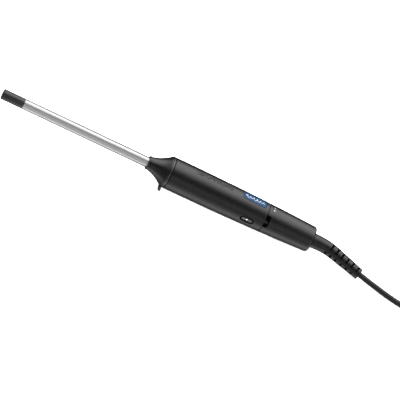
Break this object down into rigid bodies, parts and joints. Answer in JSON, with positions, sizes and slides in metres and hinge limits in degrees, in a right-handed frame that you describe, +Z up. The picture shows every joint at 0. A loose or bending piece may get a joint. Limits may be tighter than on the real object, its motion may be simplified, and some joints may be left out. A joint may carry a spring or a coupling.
{
  "type": "curling iron",
  "caption": "Slim curling wand with a polished barrel, a flared nose with a foot, a tapered handle, a temperature collar and a swivelling mains cord folded in a hank.",
  "frame": {"origin": "on the table, under the middle of the wand's own bounding box (the cord and plug left out)", "axes": "+X along the wand from the cool tip towards the cord, +Z up, -Y towards the power button"},
  "size_m": [0.6654, 0.0506, 0.0351],
  "materials": {
    "black_plastic": "satin",
    "heat_resistant_plastic": "satin",
    "polished_aluminium": "polished",
    "rubber": "matte",
    "blue_badge": "glossy",
    "clear_lens": "glossy",
    "steel": "plain",
    "aluminium": "matte",
    "ceramic": "matte",
    "brass": "polished",
    "board": "satin",
    "grey_plastic": "satin",
    "component": "satin",
    "capacitor_yellow": "glossy",
    "wire_insulation": "matte",
    "hook_tape": "woven"
  },
  "bodies": {
    "cord_side": {"strain_relief_boot": "rubber", "swivel_hub": "grey_plastic", "slip_ring_front": "brass", "slip_ring_rear": "brass", "cord_lead": "rubber", "cord_hank": "rubber", "cord_tail": "rubber", "hank_tie": "hook_tape", "plug_body": "rubber", "plug_pin_near": "brass", "plug_pin_far": "brass", "plug_pin_sleeve_near": "rubber", "plug_pin_sleeve_far": "rubber"},
    "handle": {"cool_tip": "heat_resistant_plastic", "barrel_tube": "polished_aluminium", "heater_plate": "ceramic", "heat_spreader_upper": "aluminium", "heat_spreader_lower": "aluminium", "thermistor": "ceramic", "barrel_flange": "steel", "mica_washer": "ceramic", "ceramic_clamp_ring": "ceramic", "nose_cone": "heat_resistant_plastic", "handle_sleeve": "black_plastic", "badge_plate": "blue_badge", "chassis_tray": "grey_plastic", "chassis_screw_near": "steel", "chassis_screw_far": "steel", "board_screw_front": "steel", "board_screw_rear": "steel", "circuit_board": "board", "suppression_capacitor": "capacitor_yellow", "triac": "component", "heat_sink": "aluminium", "control_chip": "component", "smoothing_capacitor": "component", "fuse": "ceramic", "indicator_led": "clear_lens", "power_switch": "component", "heater_lead_near": "wire_insulation", "heater_lead_far": "wire_insulation", "mains_lead_near": "wire_insulation", "mains_lead_far": "wire_insulation", "thermal_fuse": "ceramic", "rear_spigot": "black_plastic", "collar_retaining_ring": "steel", "selector_switch": "component", "contact_front": "brass", "contact_rear": "brass", "contact_block": "grey_plastic", "swivel_retainer": "steel"},
    "collar": {"temperature_collar": "black_plastic", "collar_pin": "steel"},
    "slider": {"selector_slider": "grey_plastic"},
    "button": {"power_button": "black_plastic", "button_window": "clear_lens", "switch_plunger": "grey_plastic"}
  },
  "joints": [
    {"name": "cord_swivel", "type": "hinge", "parent": "cord_side", "child": "handle", "pos_m": [0.14076, 0, 0.01324], "axis": [0.9988, 0, -0.0484], "continuous": true},
    {"name": "temperature_turn", "type": "hinge", "parent": "handle", "child": "collar", "pos_m": [0.14076, 0, 0.01324], "axis": [0.9988, 0, -0.0484], "range_deg": [-16, 16]},
    {"name": "selector_slide", "type": "slide", "parent": "handle", "child": "slider", "axis": [0, 1, 0], "range_m": [-0.0022, 0.0022]},
    {"name": "power_press", "type": "slide", "parent": "handle", "child": "button", "axis": [0, 1, 0], "range_m": [0, 0.0008], "stiffness_N_per_m": 1500}
  ],
  "couplings": [
    {"joint": "selector_slide", "follows": "temperature_turn", "m_per_rad": 0.00739}
  ]
}
